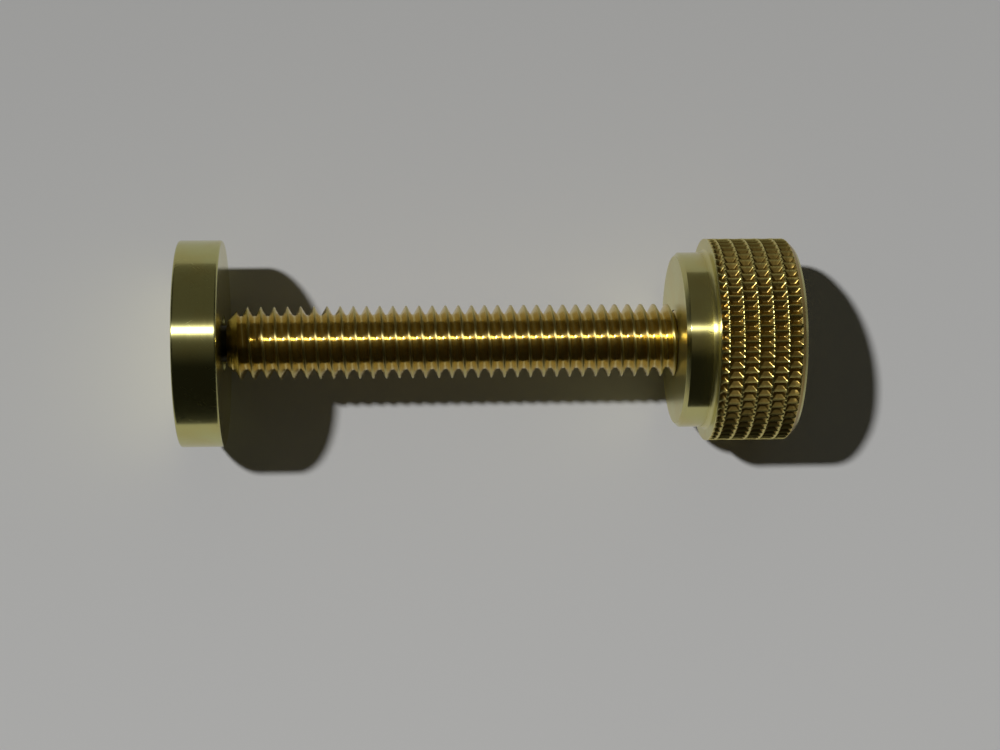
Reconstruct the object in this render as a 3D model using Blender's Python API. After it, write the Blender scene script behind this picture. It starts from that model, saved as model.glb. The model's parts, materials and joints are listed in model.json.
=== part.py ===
"""A brass clamping screw: a threaded rod with a knurled thumb nut and a round swivel pad.

It lies on its side, as it does on a table. The screw's axis is the X axis, +Z is up, and the
origin is the centre of the pad's outer face. Everything is in metres.
"""

import math

import bmesh
import bpy
from mathutils import Matrix, Vector

MM = 0.001

# The thread: 18 turns to the inch, right-handed, 60 degrees between its flanks.
PITCH = 25.4 / 18 * MM
CREST_RADIUS = 3.92 * MM
ROOT_RADIUS = 2.93 * MM
FLANK_ANGLE = math.radians(30)
CREST_AT = 7.18 * MM  # where the crest crosses the +Y side of the rod
TAP_CLEARANCE = 0.16 * MM  # how much larger the nut's thread is, as a radius

# The two clamping faces, which are the pad's inner face and the collar's face.
WORK_RADIUS = 4.6 * MM  # they are flat outside this radius
RELIEF = 0.03 * MM  # and hollow by this much inside it, round the thread

# The swivel pad and the pocket behind its inner face.
PAD_RADIUS = 11.05 * MM
PAD_THICKNESS = 4.65 * MM
PAD_EDGE = 0.3 * MM
POCKET_RADIUS = 3.0 * MM
POCKET_FLOOR = 1.15 * MM
GROOVE_RADIUS = 3.6 * MM
GROOVE_START = 2.7 * MM
GROOVE_END = 4.1 * MM

# The split wire ring that keeps the rod's head in the pocket.
RING_MID_RADIUS = 2.95 * MM
RING_WIRE_RADIUS = 0.45 * MM
RING_OPENING = math.radians(40)
RING_AT = (GROOVE_START + GROOVE_END) / 2

# The rod: a domed head and a neck in the pad, then the thread.
HEAD_RADIUS = 2.7 * MM
HEAD_TIP = 1.45 * MM
HEAD_END = 2.6 * MM
HEAD_DOME = 0.45 * MM
NECK_RADIUS = 1.95 * MM
SHOULDER_AT = PAD_THICKNESS + 0.4 * MM
SHOULDER_RADIUS = 2.5 * MM
ROD_END = 65.3 * MM
ROD_END_RADIUS = 2.9 * MM
ENVELOPE_RADIUS = CREST_RADIUS + 0.4 * MM  # clear of the crests, so that only the ends are cut

# The nut: a smooth collar and a knurled head, turned from one bar.
COLLAR_FACE = 53.2 * MM
COLLAR_RADIUS = 9.47 * MM
COLLAR_EDGE = 0.41 * MM
CORNER_FILLET = 0.45 * MM
HEAD_FACE = 56.45 * MM
NUT_END = 65.75 * MM
NUT_RADIUS = 10.95 * MM
HEAD_FRONT_EDGE = 0.1 * MM
HEAD_BACK_EDGE = 0.8 * MM
COUNTERSINK = 0.55 * MM

# The knurl: rings of dimples, each ring half a dimple round from the one beside it.
KNURL_DIMPLES = 63
KNURL_RIDGES = 5
KNURL_PITCH = 1.5575 * MM
KNURL_FIRST_RIDGE = 57.4 * MM
KNURL_DEPTH = 0.38 * MM

TURNED_SEGMENTS = 48
THREAD_SEGMENTS = 16
WIRE_SEGMENTS = 8
RING_STEPS = 24
CUT_OVERLAP = 1.0 * MM


def clear_scene():
    for obj in list(bpy.data.objects):
        bpy.data.objects.remove(obj, do_unlink=True)


def brass(name, colour, roughness):
    material = bpy.data.materials.new(name)
    material.use_nodes = True
    shader = material.node_tree.nodes["Principled BSDF"]
    shader.inputs["Base Color"].default_value = (*colour, 1.0)
    shader.inputs["Metallic"].default_value = 1.0
    shader.inputs["Roughness"].default_value = roughness
    material.diffuse_color = (*colour, 1.0)
    return material


def new_object(name, bm, origin_x, material=None):
    """An object whose origin is on the screw's axis, at origin_x, from a mesh in world places."""
    bmesh.ops.translate(bm, verts=bm.verts, vec=Vector((-origin_x, 0.0, 0.0)))
    bmesh.ops.recalc_face_normals(bm, faces=bm.faces)
    mesh = bpy.data.meshes.new(name)
    bm.to_mesh(mesh)
    bm.free()
    mesh.shade_smooth()
    mesh.set_sharp_from_angle(angle=math.radians(35))
    obj = bpy.data.objects.new(name, mesh)
    obj.location = (origin_x, 0.0, 0.0)
    bpy.context.scene.collection.objects.link(obj)
    if material:
        mesh.materials.append(material)
    return obj


def as_cutter(obj):
    obj.hide_render = True
    obj.display_type = "WIRE"
    return obj


def combine(obj, other, operation):
    modifier = obj.modifiers.new(f"{operation.lower()} {other.name}", "BOOLEAN")
    modifier.operation = operation
    modifier.solver = "EXACT"
    modifier.object = as_cutter(other)


def around(x, radius, angle):
    """A point at this angle round the X axis, counted from +Y towards +Z."""
    return Vector((x, radius * math.cos(angle), radius * math.sin(angle)))


def join_rings(bm, first, second):
    count = len(first)
    for i in range(count):
        j = (i + 1) % count
        bm.faces.new((first[i], first[j], second[j], second[i]))


def turned(outline, segments=TURNED_SEGMENTS):
    """A solid of revolution. The outline starts and ends on the axis, and a facet faces straight down."""
    bm = bmesh.new()
    angles = [math.tau * (i + 0.5) / segments for i in range(segments)]
    rings = [[bm.verts.new(around(x, r, a)) for a in angles] for x, r in outline[1:-1]]
    for first, second in zip(rings, rings[1:]):
        join_rings(bm, first, second)
    for ring, (x, _) in ((rings[0], outline[0]), (rings[-1], outline[-1])):
        centre = bm.verts.new((x, 0.0, 0.0))
        for i in range(segments):
            bm.faces.new((centre, ring[i], ring[(i + 1) % segments]))
    return bm


def threaded_bar(start, end, extra_radius=0.0):
    """A bar with one V thread along it, from before start to after end, closed at both ends."""
    crest = CREST_RADIUS + extra_radius
    root = ROOT_RADIUS + extra_radius
    flank = (CREST_RADIUS - ROOT_RADIUS) * math.tan(FLANK_ANGLE)
    profile = [(0.0, crest), (flank, root), (PITCH - flank, root)]
    first_turn = math.floor((start - CREST_AT) / PITCH) - 2
    last_turn = math.ceil((end - CREST_AT) / PITCH) + 1
    steps = (last_turn - first_turn) * THREAD_SEGMENTS
    bm = bmesh.new()
    rows = []
    for step in range(steps + THREAD_SEGMENTS + 1):
        along = CREST_AT + PITCH * (first_turn + step / THREAD_SEGMENTS)
        angle = math.tau * step / THREAD_SEGMENTS
        # Past the last step only the crest is needed, as the far edge of the last turn.
        points = profile if step <= steps else profile[:1]
        rows.append([bm.verts.new(around(along + x, r, angle)) for x, r in points])

    def section(step):
        """The points across one thread, up to the crest of the next turn."""
        return rows[step] + [rows[step + THREAD_SEGMENTS][0]]

    for step in range(steps):
        here, there = section(step), section(step + 1)
        for k in range(len(profile)):
            bm.faces.new((here[k], there[k], there[k + 1], here[k + 1]))
    for step in (0, steps):
        edge = [rows[step + i][0] for i in range(THREAD_SEGMENTS + 1)]
        loop = edge + list(reversed(section(step)[1:-1]))
        centre = bm.verts.new(((edge[0].co.x + edge[-1].co.x) / 2, 0.0, 0.0))
        for i, vert in enumerate(loop):
            bm.faces.new((centre, vert, loop[(i + 1) % len(loop)]))
    return bm


def make_swivel_pad(material):
    outline = [
        (0.0, 0.0),
        (0.0, PAD_RADIUS - PAD_EDGE),
        (PAD_EDGE, PAD_RADIUS),
        (PAD_THICKNESS - PAD_EDGE, PAD_RADIUS),
        (PAD_THICKNESS, PAD_RADIUS - PAD_EDGE),
        (PAD_THICKNESS, WORK_RADIUS),
        (PAD_THICKNESS - RELIEF, CREST_RADIUS),
        (PAD_THICKNESS - RELIEF, POCKET_RADIUS),
        (GROOVE_END, POCKET_RADIUS),
        (GROOVE_END, GROOVE_RADIUS),
        (GROOVE_START, GROOVE_RADIUS),
        (GROOVE_START, POCKET_RADIUS),
        (POCKET_FLOOR, POCKET_RADIUS),
        (POCKET_FLOOR, 0.0),
    ]
    return new_object("swivel_pad", turned(outline), 0.0, material)


def make_snap_ring(material):
    """A round wire bent into a ring, with an opening so that it can be sprung into its groove."""
    bm = bmesh.new()
    section = [
        bm.verts.new((
            RING_AT + RING_WIRE_RADIUS * math.cos(math.tau * i / WIRE_SEGMENTS),
            RING_MID_RADIUS + RING_WIRE_RADIUS * math.sin(math.tau * i / WIRE_SEGMENTS),
            0.0,
        ))
        for i in range(WIRE_SEGMENTS)
    ]
    cap = bm.faces.new(section)
    half_opening = Matrix.Rotation(RING_OPENING / 2, 3, "X")
    bmesh.ops.rotate(bm, verts=bm.verts, cent=(0.0, 0.0, 0.0), matrix=half_opening)
    bmesh.ops.spin(
        bm,
        geom=[cap] + list(cap.edges) + section,
        cent=(0.0, 0.0, 0.0),
        axis=(1.0, 0.0, 0.0),
        angle=math.tau - RING_OPENING,
        steps=RING_STEPS,
    )
    return new_object("snap_ring", bm, RING_AT, material)


def make_threaded_rod(material):
    chamfer = ENVELOPE_RADIUS - SHOULDER_RADIUS
    end_chamfer = ENVELOPE_RADIUS - ROD_END_RADIUS
    envelope = turned([
        (HEAD_TIP, 0.0),
        (HEAD_TIP, HEAD_RADIUS - HEAD_DOME * 2),
        (HEAD_TIP + HEAD_DOME, HEAD_RADIUS),
        (HEAD_END, HEAD_RADIUS),
        (HEAD_END, NECK_RADIUS),
        (SHOULDER_AT, NECK_RADIUS),
        (SHOULDER_AT, SHOULDER_RADIUS),
        (SHOULDER_AT + chamfer, ENVELOPE_RADIUS),
        (ROD_END - end_chamfer, ENVELOPE_RADIUS),
        (ROD_END, ROD_END_RADIUS),
        (ROD_END, 0.0),
    ], 32)
    rod = new_object("threaded_rod", threaded_bar(HEAD_TIP, ROD_END), 0.0, material)
    combine(rod, new_object("rod_envelope", envelope, 0.0), "INTERSECT")
    return rod


def knurled_head():
    """The nut's head. Each ring of dimples has its pits on a ring of points between two ridges."""
    points = 2 * KNURL_DIMPLES
    start = HEAD_FACE + HEAD_FRONT_EDGE
    end = NUT_END - HEAD_BACK_EDGE
    ridges = [KNURL_FIRST_RIDGE + KNURL_PITCH * i for i in range(KNURL_RIDGES)]
    borders = [start] + ridges + [end]
    rings = [(HEAD_FACE, NUT_RADIUS - HEAD_FRONT_EDGE, None), (start, NUT_RADIUS, None)]
    for column, (left, right) in enumerate(zip(borders, borders[1:])):
        rings.append(((left + right) / 2, NUT_RADIUS, column % 2))
        rings.append((right, NUT_RADIUS, None))
    rings.append((NUT_END, NUT_RADIUS - HEAD_BACK_EDGE, None))
    bm = bmesh.new()
    built = []
    for x, radius, pit_phase in rings:
        ring = []
        for i in range(points):
            is_pit = pit_phase is not None and i % 2 == pit_phase
            depth = KNURL_DEPTH if is_pit else 0.0
            ring.append(bm.verts.new(around(x, radius - depth, math.tau * (i + 0.5) / points)))
        built.append(ring)
    for first, second in zip(built, built[1:]):
        join_rings(bm, first, second)
    bm.faces.new(built[0])
    bm.faces.new(built[-1])
    return bm


def make_knurled_nut(material):
    # The fillet in the corner between collar and head is an eighth of a circle, twice.
    halfway = CORNER_FILLET * (1 - math.sqrt(0.5))
    collar = turned([
        (COLLAR_FACE + RELIEF, 0.0),
        (COLLAR_FACE + RELIEF, CREST_RADIUS),
        (COLLAR_FACE, WORK_RADIUS),
        (COLLAR_FACE, COLLAR_RADIUS - COLLAR_EDGE),
        (COLLAR_FACE + COLLAR_EDGE, COLLAR_RADIUS),
        (HEAD_FACE - CORNER_FILLET, COLLAR_RADIUS),
        (HEAD_FACE - halfway, COLLAR_RADIUS + halfway),
        (HEAD_FACE, COLLAR_RADIUS + CORNER_FILLET),
        (HEAD_FACE + CUT_OVERLAP, COLLAR_RADIUS + CORNER_FILLET),
        (HEAD_FACE + CUT_OVERLAP, 0.0),
    ])
    tapped = CREST_RADIUS + TAP_CLEARANCE
    mouth = turned([
        (NUT_END - COUNTERSINK - tapped, 0.0),
        (NUT_END - COUNTERSINK - tapped + 2 * CUT_OVERLAP, 2 * CUT_OVERLAP),
        (NUT_END + CUT_OVERLAP, tapped + COUNTERSINK + CUT_OVERLAP),
        (NUT_END + CUT_OVERLAP, 0.0),
    ], 32)
    tap = threaded_bar(COLLAR_FACE - CUT_OVERLAP, NUT_END + CUT_OVERLAP, TAP_CLEARANCE)
    nut = new_object("knurled_nut", knurled_head(), COLLAR_FACE, material)
    combine(nut, new_object("nut_collar", collar, COLLAR_FACE), "UNION")
    combine(nut, new_object("nut_tap", tap, COLLAR_FACE), "DIFFERENCE")
    combine(nut, new_object("nut_countersink", mouth, COLLAR_FACE), "DIFFERENCE")
    return nut


def main():
    clear_scene()
    make_swivel_pad(brass("pad brass", (0.80, 0.73, 0.40), 0.12))
    make_snap_ring(brass("ring wire", (0.62, 0.60, 0.56), 0.30))
    make_threaded_rod(brass("rod brass", (0.78, 0.64, 0.28), 0.16))
    make_knurled_nut(brass("nut brass", (0.80, 0.71, 0.37), 0.15))


main()
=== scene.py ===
"""The looks of a brass clamping screw: a swivel pad, a threaded rod and a knurled thumb nut.

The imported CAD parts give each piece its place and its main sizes. This script makes the fine
surface of each piece around them: rounded edges, a smooth thread, cupped knurling and brass that
was turned, cut or rolled. Lengths are in metres, and the screw's axis is the X axis.
"""

import json
import math

import bmesh
import bpy
from mathutils import Euler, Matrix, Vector


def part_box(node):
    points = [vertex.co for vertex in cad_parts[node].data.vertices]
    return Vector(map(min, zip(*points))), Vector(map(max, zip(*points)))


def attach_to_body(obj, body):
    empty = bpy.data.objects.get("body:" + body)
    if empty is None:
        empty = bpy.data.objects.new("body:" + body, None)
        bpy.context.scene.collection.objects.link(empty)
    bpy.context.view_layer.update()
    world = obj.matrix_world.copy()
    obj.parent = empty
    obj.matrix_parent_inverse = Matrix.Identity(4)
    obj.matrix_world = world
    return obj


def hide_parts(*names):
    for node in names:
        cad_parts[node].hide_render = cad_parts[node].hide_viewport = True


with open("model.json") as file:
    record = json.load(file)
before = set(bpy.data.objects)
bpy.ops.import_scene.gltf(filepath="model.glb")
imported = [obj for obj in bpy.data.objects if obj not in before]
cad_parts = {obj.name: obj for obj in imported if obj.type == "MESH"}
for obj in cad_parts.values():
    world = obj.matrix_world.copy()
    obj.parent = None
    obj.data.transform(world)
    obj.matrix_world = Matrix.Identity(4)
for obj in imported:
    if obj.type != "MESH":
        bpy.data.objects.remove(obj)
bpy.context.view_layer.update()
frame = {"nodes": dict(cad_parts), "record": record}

MM = 0.001


def reach(node):
    """How far a CAD node reaches from the screw's axis."""
    return max(math.hypot(v.co.y, v.co.z) for v in frame["nodes"][node].data.vertices)


# Main sizes, from the CAD parts.
PAD_RADIUS = reach("swivel_pad")
PAD_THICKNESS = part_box("swivel_pad")[1].x
NUT_RADIUS = reach("knurled_nut")
COLLAR_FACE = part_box("knurled_nut")[0].x
NUT_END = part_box("knurled_nut")[1].x
HEAD_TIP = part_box("threaded_rod")[0].x
ROD_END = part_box("threaded_rod")[1].x
CREST_RADIUS = reach("threaded_rod")
PITCH = frame["record"]["behaviour"]["couplings"][0]["ratio"] * math.tau

# The thread.
THREAD_DEPTH = 0.93 * MM
CREST_FLAT = 0.10 * MM
CREST_ROUNDING = 0.03 * MM
ROOT_ROUNDING = 0.2 * MM
FLANK_ANGLE = math.radians(30)
CREST_AT = 7.18 * MM  # where the crest crosses the +Y side of the rod
TAP_CLEARANCE = 0.16 * MM

# The pad, its pocket and the snap ring in it.
PAD_EDGE = 0.28 * MM
POCKET_RADIUS = 3.0 * MM
POCKET_EDGE = 0.1 * MM
POCKET_FLOOR = 1.15 * MM
GROOVE_RADIUS = 3.6 * MM
GROOVE_START = 2.7 * MM
GROOVE_END = 4.1 * MM
RING_MID_RADIUS = 2.95 * MM
RING_WIRE_RADIUS = 0.45 * MM
RING_OPENING = math.radians(40)
RING_AT = (GROOVE_START + GROOVE_END) / 2

# The rod's head and neck in the pad, and its ends.
HEAD_RADIUS = 2.7 * MM
HEAD_END = 2.6 * MM
HEAD_DOME = 0.45 * MM
NECK_RADIUS = 1.95 * MM
SHOULDER_AT = PAD_THICKNESS + 0.4 * MM
SHOULDER_RADIUS = 2.5 * MM
ROD_END_RADIUS = 2.9 * MM

# The nut's collar and knurled head.
COLLAR_RADIUS = 9.47 * MM
COLLAR_EDGE = 0.41 * MM
CORNER_FILLET = 0.45 * MM
CORNER_MARKS = 0.5 * MM  # over this length the tool left the corner duller, and its brass is painted lighter as painted reflection
HEAD_FACE = COLLAR_FACE + 3.25 * MM
HEAD_FRONT_EDGE = 0.06 * MM
HEAD_BACK_EDGE = 0.8 * MM
BROKEN_EDGE = 0.07 * MM
COUNTERSINK = 0.55 * MM

# The knurl: columns of cups, each column half a cup round from the one beside it.
KNURL_CUPS = 63
KNURL_PITCH = 1.5575 * MM
CUP_WIDTH = math.tau * NUT_RADIUS / KNURL_CUPS
KNURL_START = HEAD_FACE + 0.1 * MM
KNURL_FIRST_RIDGE = HEAD_FACE + 0.95 * MM
KNURL_DEPTH = 0.55 * MM
KNURL_FADE = 0.5 * MM  # over this length the cups grow shallow towards the head's edges
FRONT_FADE_LEAD = 0.3  # the front fade starts this share of that length before the knurl
BACK_DEPTH = 0.8  # and the back fade leaves this share of the depth at the edge
RIDGE_ROUNDING = 0.11  # how far the rounding of a cup's border reaches, as a share of its walls
FLOOR_ROUNDING = 0.15  # and that of its bottom, where the walls level out
LEAST_RISE = 0.0001  # where a wall starts, because a negative power of 0 is infinite
CORNER_POWER = 24  # a higher power makes the corners between a cup's walls sharper
BAR_SAG = 0.06  # how far the bars between cups sag, as a share of the depth
RIDGE_SAG = 0.11  # and the ridges between columns, from one bar's end to the next
RIDGE_SAG_POWER = 6  # a higher power keeps that sag closer to the ridge

# How finely the pieces are divided.
ARC_STEPS = 6
ROD_SEGMENTS = 96
CUP_SEGMENTS = 16
CUP_RINGS = 23
HEAD_SEGMENTS = KNURL_CUPS * CUP_SEGMENTS
BORE_SEGMENTS = HEAD_SEGMENTS // 8
PAD_SEGMENTS = 288
WIRE_SEGMENTS = 20
RING_STEPS = 120
FLOOR_SEGMENTS = 128
SPARE_TURNS = 3  # of thread, made past each of its two planes and then cut off
MERGE = 0.0001 * MM
SHARP_EDGE = math.radians(40)
SQUARE_TO_AXIS = 0.98  # the X of a flat face's normal is at least this


# ---------------------------------------------------------------- outlines and rings


def around(x, radius, angle):
    """A point at this angle round the X axis, counted from +Y towards +Z."""
    return Vector((x, radius * math.cos(angle), radius * math.sin(angle)))


def rounded(outline):
    """The (x, radius) points of an outline whose corners are (x, radius, rounding)."""
    corners = [Vector(corner[:2]) for corner in outline]
    points = []
    for i, (_, _, rounding) in enumerate(outline):
        if not rounding:
            points.append(tuple(corners[i]))
            continue
        back = (corners[i - 1] - corners[i]).normalized()
        ahead = (corners[i + 1] - corners[i]).normalized()
        half = back.angle(ahead) / 2
        centre = corners[i] + (back + ahead).normalized() * rounding / math.sin(half)
        first = corners[i] + back * rounding / math.tan(half) - centre
        start = math.atan2(first.y, first.x)
        sweep = -math.copysign(math.pi - 2 * half, back.cross(ahead))
        for step in range(ARC_STEPS + 1):
            angle = start + sweep * step / ARC_STEPS
            points.append((
                centre.x + rounding * math.cos(angle),
                centre.y + rounding * math.sin(angle),
            ))
    return points


def ring_of(bm, x, radius_at, segments):
    """A ring of points round the axis. radius_at gives the radius at each angle."""
    angles = [math.tau * i / segments for i in range(segments)]
    return [bm.verts.new(around(x, radius_at(angle), angle)) for angle in angles]


def join(bm, first, second, material=0):
    """Joins two rings that have the same number of points."""
    count = len(first)
    for i in range(count):
        j = (i + 1) % count
        bm.faces.new((first[i], first[j], second[j], second[i])).material_index = material


def turn(bm, outline, segments, material=0):
    """Turns an outline round the axis and returns its first and last ring."""
    rings = [ring_of(bm, x, lambda _, r=r: r, segments) for x, r in outline]
    for first, second in zip(rings, rings[1:]):
        join(bm, first, second, material)
    return rings[0], rings[-1]


def close(bm, ring):
    """Closes a flat ring with a fan of faces to its centre."""
    centre = bm.verts.new((ring[0].co.x, 0.0, 0.0))
    for i, vert in enumerate(ring):
        bm.faces.new((centre, vert, ring[(i + 1) % len(ring)]))


def finished(name, bm, materials, flat_material=0):
    """An object from a closed mesh, shaded smooth with its true edges kept sharp."""
    bmesh.ops.remove_doubles(bm, verts=bm.verts, dist=MERGE)
    bmesh.ops.recalc_face_normals(bm, faces=bm.faces)
    for face in bm.faces:
        if abs(face.normal.x) > SQUARE_TO_AXIS:
            face.material_index = flat_material
    mesh = bpy.data.meshes.new(name)
    bm.to_mesh(mesh)
    bm.free()
    for material in materials:
        mesh.materials.append(material)
    mesh.shade_smooth()
    mesh.set_sharp_from_angle(angle=SHARP_EDGE)
    obj = bpy.data.objects.new(name, mesh)
    bpy.context.scene.collection.objects.link(obj)
    shading = obj.modifiers.new("flat faces stay flat", "WEIGHTED_NORMAL")
    shading.mode = "FACE_AREA"
    shading.keep_sharp = True
    return obj


# ---------------------------------------------------------------- the thread


def thread_profile(extra_radius):
    """(x, radius) along one pitch, from the middle of a crest up to the middle of the next."""
    crest = CREST_RADIUS + extra_radius
    root = crest - THREAD_DEPTH
    edge = CREST_FLAT / 2
    foot = edge + THREAD_DEPTH * math.tan(FLANK_ANGLE)
    return rounded([
        (0.0, crest, 0.0),
        (edge, crest, CREST_ROUNDING),
        (foot, root, ROOT_ROUNDING),
        (PITCH - foot, root, ROOT_ROUNDING),
        (PITCH - edge, crest, CREST_ROUNDING),
        (PITCH, crest, 0.0),
    ])[:-1]


def crossing(a, b, limit):
    """Where the line from a to b meets the cone whose radius at x is limit(x)."""
    over_a = a[1] - limit(a[0])
    over_b = b[1] - limit(b[0])
    share = over_a / (over_a - over_b)
    return (a[0] + (b[0] - a[0]) * share, a[1] + (b[1] - a[1]) * share)


def cut_by_cone(line, limit, inside):
    """Trims a line of (x, radius) points to a cone, moving points and never dropping one."""
    kept = [inside(radius, limit(x)) == radius for x, radius in line]
    result = []
    for i, (x, radius) in enumerate(line):
        beside = [j for j in (i - 1, i + 1) if 0 <= j < len(line) and kept[j]]
        if kept[i]:
            result.append((x, radius))
        elif beside:
            result.append(crossing(line[i], line[beside[0]], limit))
        else:
            result.append((x, limit(x)))
    return result


def cut_by_planes(line, start, end):
    """Gathers the points beyond start or end in one point on that plane."""

    def on_plane(x, a, b):
        share = (x - a[0]) / (b[0] - a[0])
        return (x, a[1] + (b[1] - a[1]) * share)

    first = next(i for i, point in enumerate(line) if point[0] > start)
    last = max(i for i, point in enumerate(line) if point[0] < end)
    at_start = on_plane(start, line[first - 1], line[first])
    at_end = on_plane(end, line[last], line[last + 1])
    return [at_start] * first + line[first : last + 1] + [at_end] * (len(line) - last - 1)


def thread_surface(bm, start, end, extra_radius, cones, inside, segments, material=0):
    """The thread between two planes, trimmed by cones. Returns its ring on each plane.

    inside is min for an outer thread, which stays within the cones, and max for an inner one.
    """
    profile = thread_profile(extra_radius)
    first_turn = math.floor((start - CREST_AT) / PITCH) - SPARE_TURNS
    last_turn = math.ceil((end - CREST_AT) / PITCH) + SPARE_TURNS
    rows = []
    for i in range(segments):
        line = [
            (CREST_AT + PITCH * (number + i / segments) + x, radius)
            for number in range(first_turn, last_turn)
            for x, radius in profile
        ]
        for limit in cones:
            line = cut_by_cone(line, limit, inside)
        angle = math.tau * i / segments
        rows.append([bm.verts.new(around(x, r, angle)) for x, r in cut_by_planes(line, start, end)])
    for i in range(segments):
        here = rows[i]
        # After a full turn the thread has moved on by one pitch.
        there = rows[i + 1] if i + 1 < segments else rows[0][len(profile):]
        for k in range(len(there) - 1):
            face = bm.faces.new((here[k], there[k], there[k + 1], here[k + 1]))
            face.material_index = material
    return [row[0] for row in rows], [row[-1] for row in rows]


# ---------------------------------------------------------------- the pieces


def make_pad(materials):
    outline = rounded([
        (0.0, PAD_RADIUS / 2, 0.0),
        (0.0, PAD_RADIUS, PAD_EDGE),
        (PAD_THICKNESS, PAD_RADIUS, PAD_EDGE),
        (PAD_THICKNESS, POCKET_RADIUS, POCKET_EDGE),
        (GROOVE_END, POCKET_RADIUS, 0.0),
        (GROOVE_END, GROOVE_RADIUS, 0.0),
        (GROOVE_START, GROOVE_RADIUS, 0.0),
        (GROOVE_START, POCKET_RADIUS, 0.0),
        (POCKET_FLOOR, POCKET_RADIUS, 0.0),
        (POCKET_FLOOR, POCKET_RADIUS / 2, 0.0),
    ])
    bm = bmesh.new()
    for ring in turn(bm, outline, PAD_SEGMENTS):
        close(bm, ring)
    return finished("turned_pad", bm, materials, flat_material=1)


def make_ring(materials):
    """Round spring wire, bent into a ring with an opening."""
    bm = bmesh.new()
    sections = []
    for step in range(RING_STEPS + 1):
        angle = RING_OPENING / 2 + (math.tau - RING_OPENING) * step / RING_STEPS
        section = []
        for i in range(WIRE_SEGMENTS):
            turned = math.tau * i / WIRE_SEGMENTS
            x = RING_AT + RING_WIRE_RADIUS * math.cos(turned)
            radius = RING_MID_RADIUS + RING_WIRE_RADIUS * math.sin(turned)
            section.append(bm.verts.new(around(x, radius, angle)))
        sections.append(section)
    for first, second in zip(sections, sections[1:]):
        join(bm, first, second)
    bm.faces.new(sections[0])
    bm.faces.new(sections[-1])
    return finished("spring_wire_ring", bm, materials)


def make_rod(materials):
    bm = bmesh.new()
    cones = [
        lambda x: SHOULDER_RADIUS + (x - SHOULDER_AT),
        lambda x: ROD_END_RADIUS + (ROD_END - x),
    ]
    _, end = thread_surface(bm, SHOULDER_AT, ROD_END, 0.0, cones, min, ROD_SEGMENTS)
    close(bm, end)
    # The neck and head take the second material, which is painted nearly black as shade.
    neck_and_head = rounded([
        (SHOULDER_AT, SHOULDER_RADIUS, 0.0),
        (SHOULDER_AT, NECK_RADIUS, 0.0),
        (HEAD_END, NECK_RADIUS, 0.0),
        (HEAD_END, HEAD_RADIUS, POCKET_EDGE),
        (HEAD_TIP + HEAD_DOME, HEAD_RADIUS, POCKET_EDGE),
        (HEAD_TIP, HEAD_RADIUS - 2 * HEAD_DOME, 2 * POCKET_EDGE),
        (HEAD_TIP, NECK_RADIUS / 2, 0.0),
    ])
    _, tip = turn(bm, neck_and_head, ROD_SEGMENTS, material=1)
    close(bm, tip)
    return finished("cut_thread_rod", bm, materials, flat_material=2)


def smooth_step(low, high, value):
    """Rises from 0 at low to 1 at high, level at both."""
    share = min(max((value - low) / (high - low), 0.0), 1.0)
    return share * share * (3 - 2 * share)


def rounded_slope(share):
    """Rises from 0 at a cup's border towards 1 at its middle, levelling out there."""
    most = math.hypot(1.0, FLOOR_ROUNDING)
    return max(1 - math.hypot(1 - share, FLOOR_ROUNDING) / most, LEAST_RISE)


def cup_depth(x, angle, column):
    """How deep the knurl lies here, from 0 on a ridge to 1 at the bottom of a cup."""
    middle = KNURL_FIRST_RIDGE + KNURL_PITCH * (column - 0.5)
    u = min(abs(x - middle) / (KNURL_PITCH / 2), 1.0)
    turns = angle / math.tau * KNURL_CUPS + 0.5 * (column % 2)
    v = abs(2 * (turns - math.floor(turns)) - 1)
    # A cup is a pit with four sloping walls, a little round where they meet.
    from_ridge = KNURL_PITCH / CUP_WIDTH * rounded_slope(1 - u)
    from_bar = rounded_slope(1 - v)
    inward = (from_ridge**-CORNER_POWER + from_bar**-CORNER_POWER) ** (-1 / CORNER_POWER)
    if inward < RIDGE_ROUNDING:
        wall = inward * inward / (2 * RIDGE_ROUNDING)
    else:
        wall = inward - RIDGE_ROUNDING / 2
    sag = BAR_SAG * (1 - u * u) + RIDGE_SAG * u**RIDGE_SAG_POWER * math.sin(math.pi * v) ** 2
    front = smooth_step(-FRONT_FADE_LEAD * KNURL_FADE, KNURL_FADE, x - KNURL_START)
    from_back = smooth_step(0.0, KNURL_FADE, NUT_END - HEAD_BACK_EDGE - x)
    back = BACK_DEPTH + (1 - BACK_DEPTH) * from_back
    return (sag + (1 - sag) * wall) * front * back


def knurl_rings():
    """(x, column) of each ring of points, with a ring on each ridge."""
    end = NUT_END - HEAD_BACK_EDGE / 3
    columns = math.ceil((end - KNURL_FIRST_RIDGE) / KNURL_PITCH) + 1
    for column in range(columns):
        ridge = KNURL_FIRST_RIDGE + KNURL_PITCH * column
        for step in range(1, CUP_RINGS + 1):
            x = ridge - KNURL_PITCH * (1 - step / CUP_RINGS)
            if KNURL_START < x < end:
                yield x, column


def head_radius(x, angle, column):
    """The head's radius: the knurl, trimmed by the chamfer at the back."""
    back = NUT_RADIUS - HEAD_BACK_EDGE + (NUT_END - x)
    return min(back, NUT_RADIUS - KNURL_DEPTH * cup_depth(x, angle, column))


def join_to_bore(bm, outer, bore):
    """A flat face between the outer ring and the bore's ring, which has fewer points."""
    ratio = len(outer) // len(bore)
    for i, vert in enumerate(bore):
        rim = [outer[(ratio * i + k) % len(outer)] for k in range(ratio, -1, -1)]
        bm.faces.new([vert, bore[(i + 1) % len(bore)]] + rim)


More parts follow.
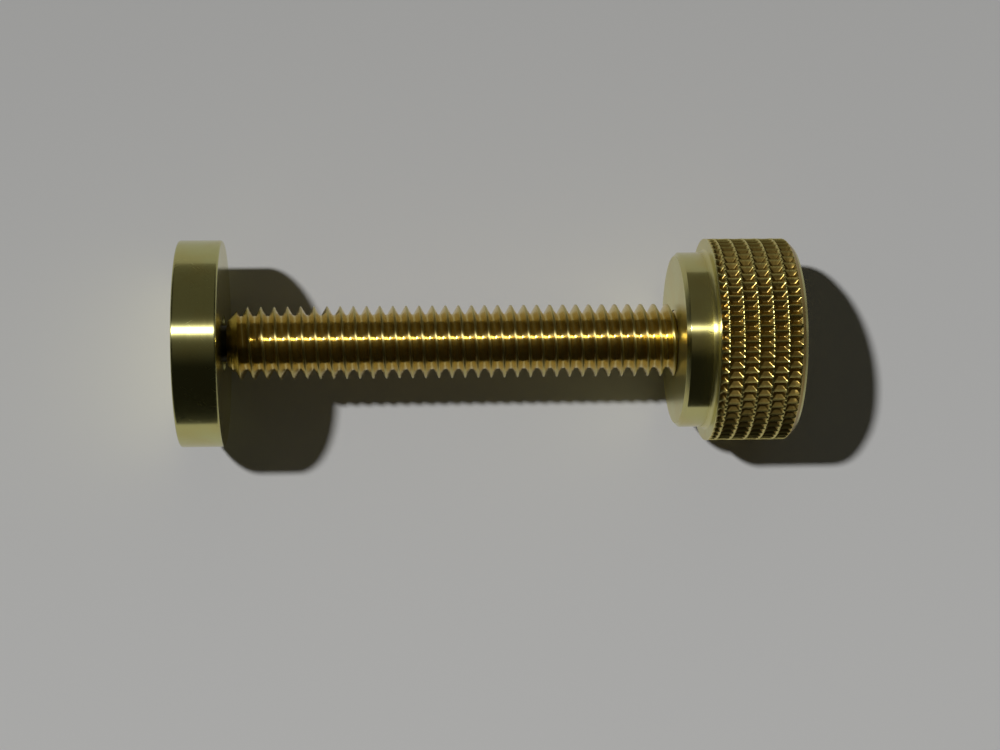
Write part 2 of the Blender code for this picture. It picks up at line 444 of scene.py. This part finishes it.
def make_nut(materials):
    polished, faced, rolled, tapped, cornered = range(5)
    bm = bmesh.new()
    collar = rounded([
        (COLLAR_FACE, COLLAR_RADIUS / 2, 0.0),
        (COLLAR_FACE, COLLAR_RADIUS - COLLAR_EDGE, BROKEN_EDGE),
        (COLLAR_FACE + COLLAR_EDGE, COLLAR_RADIUS, BROKEN_EDGE),
        (HEAD_FACE - CORNER_MARKS, COLLAR_RADIUS, 0.0),
    ])
    corner = rounded([
        (HEAD_FACE - CORNER_MARKS, COLLAR_RADIUS, 0.0),
        (HEAD_FACE, COLLAR_RADIUS, CORNER_FILLET),
        (HEAD_FACE, NUT_RADIUS, HEAD_FRONT_EDGE),
        (KNURL_START, NUT_RADIUS, 0.0),
    ])
    front, _ = turn(bm, collar, HEAD_SEGMENTS, polished)
    _, last = turn(bm, corner, HEAD_SEGMENTS, cornered)
    for x, column in knurl_rings():
        ring = ring_of(bm, x, lambda angle: head_radius(x, angle, column), HEAD_SEGMENTS)
        join(bm, last, ring, rolled)
        last = ring
    back_edge = rounded([
        (NUT_END - HEAD_BACK_EDGE, NUT_RADIUS, 0.0),
        (NUT_END, NUT_RADIUS - HEAD_BACK_EDGE, BROKEN_EDGE),
        (NUT_END, NUT_RADIUS / 2, 0.0),
    ])[1:]
    first, back = turn(bm, back_edge, HEAD_SEGMENTS)
    join(bm, last, first)
    mouth = CREST_RADIUS + TAP_CLEARANCE + COUNTERSINK
    near, far = thread_surface(
        bm,
        COLLAR_FACE,
        NUT_END,
        TAP_CLEARANCE,
        [lambda x: mouth - (NUT_END - x)],
        max,
        BORE_SEGMENTS,
        tapped,
    )
    join_to_bore(bm, front, near)
    join_to_bore(bm, back, far)
    return finished("knurled_thumb_nut", bm, materials, faced)


# ---------------------------------------------------------------- materials


# Surface marks: waves in a metre, and how many layers of finer waves lie on them.
FINE_LINES = (14000.0, 3.0)
WIDE_LINES = (2600.0, 2.0)
SCRATCHES = (9000.0, 1.0)
DENTS = (2500.0, 2.0)
PATCHES = (260.0, 4.0)

# Their heights, shapes and shares.
LINE_HEIGHT = 0.001 * MM
KNURL_DENT_HEIGHT = 0.02 * MM
FINE_SHARE = 0.6  # of a line's height, the rest being the wide lines'
LINE_DRIFT = 0.0001  # metres a line moves in a radian, so that it isn't a perfect circle
LINE_LEVELS = (0.3, 0.7)  # these three are the noise values where a mark starts and is full
SCRATCH_LEVELS = (0.72, 0.80)
PATCH_LEVELS = (0.40, 0.68)
SCRATCH_ARC = 9.5 * MM  # the radius at which scratches keep their true slant
SCRATCH_SLANTS = (0.5, -0.8)
SCRATCH_STRETCH = 0.05  # a low value makes scratches long
SCRATCH_SETS_APART = 3.0
LINE_ROUGHNESS = 0.01  # how much each kind of mark adds to the roughness
SCRATCH_ROUGHNESS = 0.05
PATCH_ROUGHNESS = 0.02
QUARTER_TURN = 0.25  # turns the sheen, so that it spreads along the X axis

# The radii where the metal of a hollow, painted darker as shade, starts and is full.
KNURL_HOLLOW = (NUT_RADIUS - 0.03 * MM, NUT_RADIUS - 0.2 * MM)
THREAD_HOLLOW = (CREST_RADIUS - 0.02 * MM, CREST_RADIUS - 0.25 * MM)


class Graph:
    """Adds nodes to a material and wires them. An input takes a number, a colour or a socket."""

    def __init__(self, tree):
        self.tree = tree

    def add(self, kind, inputs=None, **settings):
        node = self.tree.nodes.new(kind)
        for name, value in settings.items():
            setattr(node, name, value)
        for name, value in (inputs or {}).items():
            socket = node.inputs[name]
            if isinstance(value, bpy.types.NodeSocket):
                self.tree.links.new(value, socket)
            else:
                socket.default_value = value
        return node

    def math(self, operation, a, b=0.0):
        return self.add("ShaderNodeMath", {0: a, 1: b}, operation=operation).outputs[0]

    def total(self, *values):
        result = values[0]
        for value in values[1:]:
            result = self.math("ADD", result, value)
        return result

    def noise(self, vector, scale, detail):
        inputs = {"Vector": vector, "Scale": scale, "Detail": detail}
        return self.add("ShaderNodeTexNoise", inputs).outputs["Fac"]

    def between(self, value, low, high, to_low=0.0, to_high=1.0):
        inputs = {
            "Value": value,
            "From Min": low,
            "From Max": high,
            "To Min": to_low,
            "To Max": to_high,
        }
        node = self.add("ShaderNodeMapRange", inputs, interpolation_type="SMOOTHSTEP")
        return node.outputs["Result"]

    def blend(self, share, first, second):
        """A colour between two, which are colours or sockets."""
        node = self.add("ShaderNodeMix", data_type="RGBA")
        # The Mix node has sockets for several kinds of data: its colours are inputs 6 and 7
        # and output 2.
        for index, value in ((0, share), (6, first), (7, second)):
            if isinstance(value, bpy.types.NodeSocket):
                self.tree.links.new(value, node.inputs[index])
            elif index:
                node.inputs[index].default_value = (*value, 1.0)
            else:
                node.inputs[index].default_value = value
        return node.outputs[2]


def metal(name, colour, warm_colour, roughness, anisotropy=1.0, dents=0.0, hollow=None):
    """Metal that was worked round the X axis: fine lines, a few scratches, uneven colour.

    dents is the height of the small unevenness that rolling leaves. hollow is (top radius,
    bottom radius, colour, roughness): going down from the top radius to the bottom one, the
    metal changes to that colour and roughness. That colour is painted shade in the hollow.
    """
    material = bpy.data.materials.new(name)
    material.use_nodes = True
    graph = Graph(material.node_tree)
    shader = material.node_tree.nodes["Principled BSDF"]
    place = graph.add("ShaderNodeTexCoord").outputs["Object"]
    parts = graph.add("ShaderNodeSeparateXYZ", {0: place})
    x, y, z = (parts.outputs[i] for i in range(3))
    across = graph.add("ShaderNodeCombineXYZ", {0: y, 1: z}).outputs[0]
    radius = graph.add("ShaderNodeVectorMath", {0: across}, operation="LENGTH").outputs["Value"]
    angle = graph.math("ARCTAN2", z, y)

    # Lines left by the tool run round the axis, so they change along X and with the radius.
    barely = graph.math("MULTIPLY", angle, LINE_DRIFT)
    along = graph.add("ShaderNodeCombineXYZ", {0: x, 1: radius, 2: barely}).outputs[0]
    fine_lines = graph.noise(along, *FINE_LINES)
    wide_lines = graph.noise(along, *WIDE_LINES)
    lines = graph.total(
        graph.math("MULTIPLY", fine_lines, FINE_SHARE),
        graph.math("MULTIPLY", wide_lines, 1 - FINE_SHARE),
    )

    # Hairline scratches lean both ways across the surface.
    arc = graph.math("MULTIPLY", angle, SCRATCH_ARC)
    marks = []
    for number, slant in enumerate(SCRATCH_SLANTS):
        over = graph.total(arc, graph.math("MULTIPLY", x, slant))
        drift = graph.total(x, graph.math("MULTIPLY", arc, -slant))
        spot = {
            0: over,
            1: graph.math("MULTIPLY", drift, SCRATCH_STRETCH),
            2: graph.total(radius, SCRATCH_SETS_APART * number),
        }
        raw = graph.noise(graph.add("ShaderNodeCombineXYZ", spot).outputs[0], *SCRATCHES)
        marks.append(graph.between(raw, *SCRATCH_LEVELS))
    scratch = graph.math("MAXIMUM", marks[0], marks[1])

    # Handling leaves patches a little warmer and duller than the rest.
    patches = graph.between(graph.noise(place, *PATCHES), *PATCH_LEVELS)
    base = graph.blend(patches, colour, warm_colour)
    rough = graph.total(
        graph.math("MULTIPLY", patches, PATCH_ROUGHNESS),
        graph.math("MULTIPLY", scratch, SCRATCH_ROUGHNESS),
        graph.between(lines, *LINE_LEVELS, roughness - LINE_ROUGHNESS, roughness + LINE_ROUGHNESS),
    )
    if hollow:
        top, bottom, hollow_shade_colour, hollow_roughness = hollow
        # Painted shade: the colour darkens towards the bottom of the hollow.
        depth = graph.between(radius, top, bottom)
        base = graph.blend(depth, base, hollow_shade_colour)
        rough = graph.total(rough, graph.math("MULTIPLY", depth, hollow_roughness - roughness))

    height = graph.total(
        graph.math("MULTIPLY", lines, LINE_HEIGHT),
        graph.math("MULTIPLY", scratch, -LINE_HEIGHT / 2),
        graph.math("MULTIPLY", graph.noise(place, *DENTS), dents),
    )
    bump = graph.add("ShaderNodeBump", {"Strength": 1.0, "Distance": 1.0, "Height": height})
    tangent = graph.add("ShaderNodeTangent", direction_type="RADIAL", axis="X")
    links = material.node_tree.links
    links.new(base, shader.inputs["Base Color"])
    links.new(rough, shader.inputs["Roughness"])
    links.new(bump.outputs["Normal"], shader.inputs["Normal"])
    links.new(tangent.outputs["Tangent"], shader.inputs["Tangent"])
    shader.inputs["Metallic"].default_value = 1.0
    shader.inputs["Anisotropic"].default_value = anisotropy
    shader.inputs["Anisotropic Rotation"].default_value = QUARTER_TURN
    return material


# ---------------------------------------------------------------- stage


# A round sheet of pale paper, painted with light and shade: its colour follows a number that
# changes evenly across it.
FLOOR_RADIUS = 0.12
FLOOR_MIDDLE = 0.033  # along X, half way along the part
PAPER_IN_PAINTED_SHADE = (0.434, 0.434, 0.430)
PAPER_IN_PAINTED_LIGHT = (0.806, 0.806, 0.800)
PAPER_ROUGHNESS = 0.9
PAINTED_LIGHT_ALONG_X = 1.3  # the painted light rises by this in a metre
PAINTED_LIGHT_ALONG_Y = -2.8
PAINTED_LIGHT_END = 0.45  # the painted light is fullest at this value and the painted shade deepest at its negative

# One small lamp, high up on the pad's side.
LAMP_PLACE = (-0.49, 0.26, 0.93)
LAMP_RADIUS = 0.0275
LAMP_POWER = 31.0

# The room that the metal mirrors, and the backdrop that the camera sees.
DARK_ROOM = (0.010, 0.010, 0.008)
GREY_ROOM = (0.113, 0.107, 0.084)
BACKDROP = (0.38, 0.38, 0.375)
GREY_SIDE = (-0.45, 0.05)  # Y of a direction, where the grey starts and is full
GREY_MIDDLE = (0.1, 0.5)  # X of a direction, either way, where the grey starts to go and is gone

# The camera looks almost straight down.
CAMERA_PLACE = (0.02084, 0.0, 0.2104)
CAMERA_TURN = (-0.01676, -0.06364, -0.00862)
CAMERA_LENS = 70.2
CAMERA_NEAR = 0.01


def floor_material():
    material = bpy.data.materials.new("pale paper")
    material.use_nodes = True
    graph = Graph(material.node_tree)
    shader = material.node_tree.nodes["Principled BSDF"]
    place = graph.add("ShaderNodeTexCoord").outputs["Object"]
    parts = graph.add("ShaderNodeSeparateXYZ", {0: place})
    # Painted light: the paper is painted lighter towards +X and -Y, away from the lamp, against the
    # lamp's fall-off.
    painted_light = graph.total(
        graph.math("MULTIPLY", parts.outputs["X"], PAINTED_LIGHT_ALONG_X),
        graph.math("MULTIPLY", parts.outputs["Y"], PAINTED_LIGHT_ALONG_Y),
    )
    colour = graph.blend(graph.between(painted_light, -PAINTED_LIGHT_END, PAINTED_LIGHT_END), PAPER_IN_PAINTED_SHADE, PAPER_IN_PAINTED_LIGHT)
    material.node_tree.links.new(colour, shader.inputs["Base Color"])
    shader.inputs["Roughness"].default_value = PAPER_ROUGHNESS
    return material


def make_floor():
    bm = bmesh.new()
    bmesh.ops.create_circle(bm, cap_ends=True, radius=FLOOR_RADIUS, segments=FLOOR_SEGMENTS)
    mesh = bpy.data.meshes.new("floor")
    bm.to_mesh(mesh)
    bm.free()
    mesh.materials.append(floor_material())
    floor = bpy.data.objects.new("floor", mesh)
    floor.location = (FLOOR_MIDDLE, 0.0, -PAD_RADIUS)
    bpy.context.scene.collection.objects.link(floor)


def make_light():
    light = bpy.data.lights.new("key", "POINT")
    light.energy = LAMP_POWER
    light.shadow_soft_size = LAMP_RADIUS
    lamp = bpy.data.objects.new("key", light)
    lamp.location = LAMP_PLACE
    bpy.context.scene.collection.objects.link(lamp)


def make_world():
    """A dim studio: grey in the middle of the +Y side, nearly black elsewhere, a pale backdrop."""
    world = bpy.data.worlds.new("studio")
    world.use_nodes = True
    bpy.context.scene.world = world
    graph = Graph(world.node_tree)
    background = world.node_tree.nodes["Background"]
    direction = graph.add("ShaderNodeTexCoord").outputs["Generated"]
    parts = graph.add("ShaderNodeSeparateXYZ", {0: direction})
    on_side = graph.between(parts.outputs["Y"], *GREY_SIDE)
    aside = graph.math("ABSOLUTE", parts.outputs["X"])
    in_middle = graph.between(aside, *GREY_MIDDLE, 1.0, 0.0)
    share = graph.math("MULTIPLY", on_side, in_middle)
    room = graph.blend(share, DARK_ROOM, GREY_ROOM)
    seen = graph.add("ShaderNodeLightPath").outputs["Is Camera Ray"]
    colour = graph.blend(seen, room, BACKDROP)
    world.node_tree.links.new(colour, background.inputs["Color"])


def make_camera():
    camera = bpy.data.cameras.new("camera")
    camera.lens = CAMERA_LENS
    camera.clip_start = CAMERA_NEAR
    holder = bpy.data.objects.new("camera", camera)
    holder.location = CAMERA_PLACE
    holder.rotation_euler = Euler(CAMERA_TURN)
    bpy.context.scene.collection.objects.link(holder)
    bpy.context.scene.camera = holder


def attach(piece, body, node):
    """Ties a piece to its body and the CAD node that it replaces."""
    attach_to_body(piece, body)
    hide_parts(node)


def main():
    pad_brass = metal("turned pad brass", (0.67, 0.65, 0.27), (0.67, 0.61, 0.23), 0.24)
    nut_brass = metal("turned nut brass", (0.68, 0.64, 0.27), (0.68, 0.60, 0.23), 0.20)
    faced_brass = metal("faced brass", (0.68, 0.64, 0.27), (0.68, 0.61, 0.24), 0.18, anisotropy=0.0)
    satin_brass = metal("satin brass", (0.68, 0.64, 0.27), (0.68, 0.61, 0.24), 0.29, anisotropy=0.0)
    # Painted shade: the knurl's pits are painted a darker brown towards their bottoms.
    knurl_brass = metal(
        "rolled knurl brass",
        (0.80, 0.70, 0.24),
        (0.80, 0.66, 0.20),
        0.28,
        anisotropy=0.2,
        dents=KNURL_DENT_HEIGHT,
        hollow=(*KNURL_HOLLOW, (0.46, 0.32, 0.085), 0.32),
    )
    # Painted shade and inter-reflection: the thread's roots are painted a deeper, darker gold.
    thread_brass = metal(
        "cut thread brass",
        (0.72, 0.62, 0.25),
        (0.72, 0.58, 0.21),
        0.42,
        hollow=(*THREAD_HOLLOW, (0.73, 0.57, 0.20), 0.225),
    )
    # Painted reflection: the corner's brass is painted lighter than the rest, besides being
    # rougher.
    corner_brass = metal("tool-marked brass, painted light", (0.82, 0.76, 0.34), (0.80, 0.72, 0.30), 0.32)
    # Painted shade: the rod's neck and head are painted nearly black, for the shade in the gap
    # between the pad and the thread.
    neck_shade_brass = metal("rough brass painted dark as shade", (0.10, 0.09, 0.05), (0.08, 0.07, 0.04), 0.45)
    tapped_brass = metal("tapped brass", (0.66, 0.54, 0.20), (0.64, 0.48, 0.16), 0.30)
    spring_wire = metal("spring wire", (0.56, 0.55, 0.53), (0.50, 0.48, 0.45), 0.30)

    attach(make_pad([pad_brass, faced_brass]), "pad", "swivel_pad")
    attach(make_ring([spring_wire]), "ring", "snap_ring")
    rod_materials = [thread_brass, neck_shade_brass, faced_brass]
    attach(make_rod(rod_materials), "screw", "threaded_rod")
    nut_materials = [nut_brass, satin_brass, knurl_brass, tapped_brass, corner_brass]
    attach(make_nut(nut_materials), "nut", "knurled_nut")

    make_floor()
    make_light()
    make_world()
    make_camera()
    bpy.context.scene.view_settings.view_transform = "Standard"


main()
